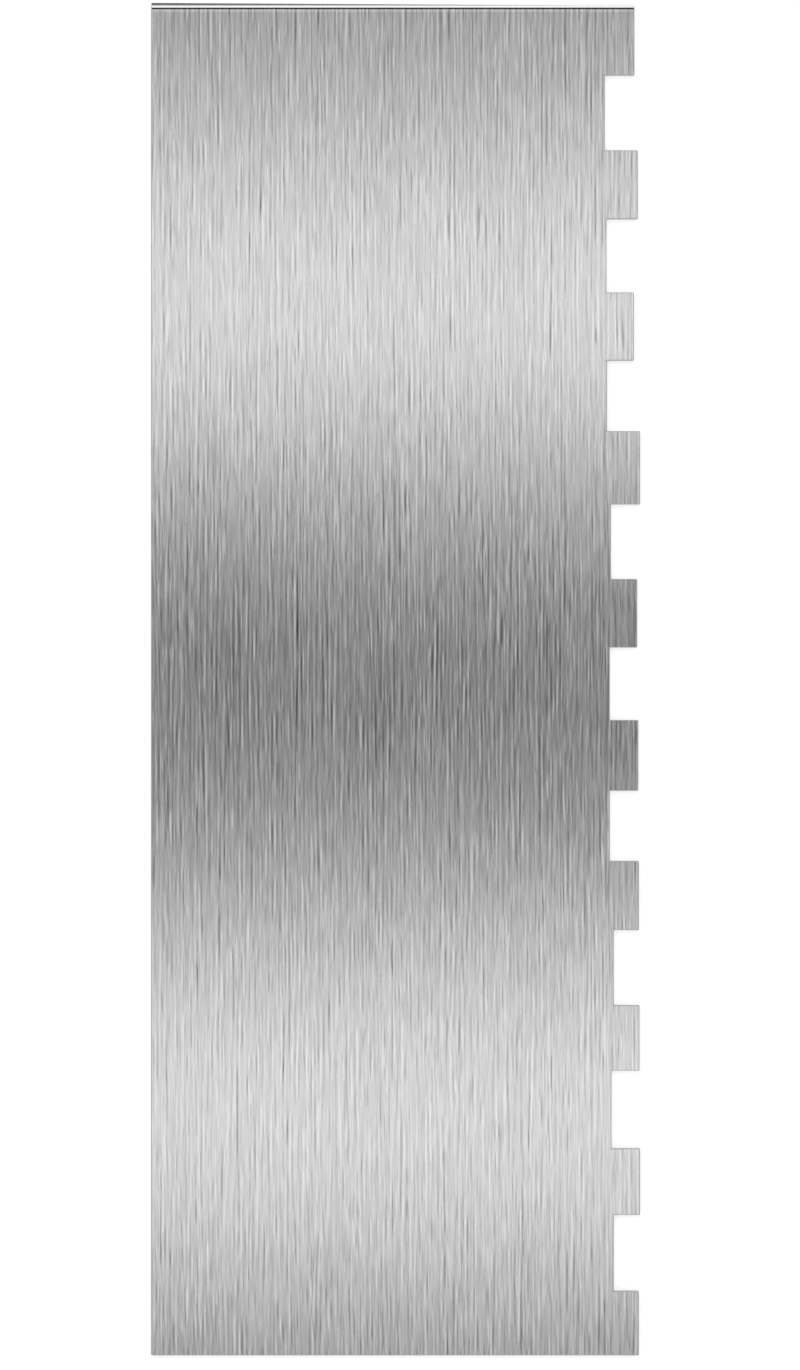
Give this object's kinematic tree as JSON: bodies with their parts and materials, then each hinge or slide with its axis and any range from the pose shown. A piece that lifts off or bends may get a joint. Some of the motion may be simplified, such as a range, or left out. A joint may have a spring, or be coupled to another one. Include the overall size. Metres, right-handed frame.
{
  "type": "cake comb",
  "caption": "Flat brushed steel comb with square teeth along one long edge, drawn round an iced cake to leave raised bands of icing.",
  "frame": {"origin": "centre of the comb's outline, on the underside of the sheet, where it lies on the table", "axes": "+X from the straight edge towards the teeth, +Y along the comb towards its sheared end, +Z out of the upper face"},
  "size_m": [0.0874, 0.2414, 0.0012],
  "materials": {
    "steel": "brushed lengthwise, satin"
  },
  "bodies": {
    "root": {"comb": "steel"}
  },
  "joints": []
}
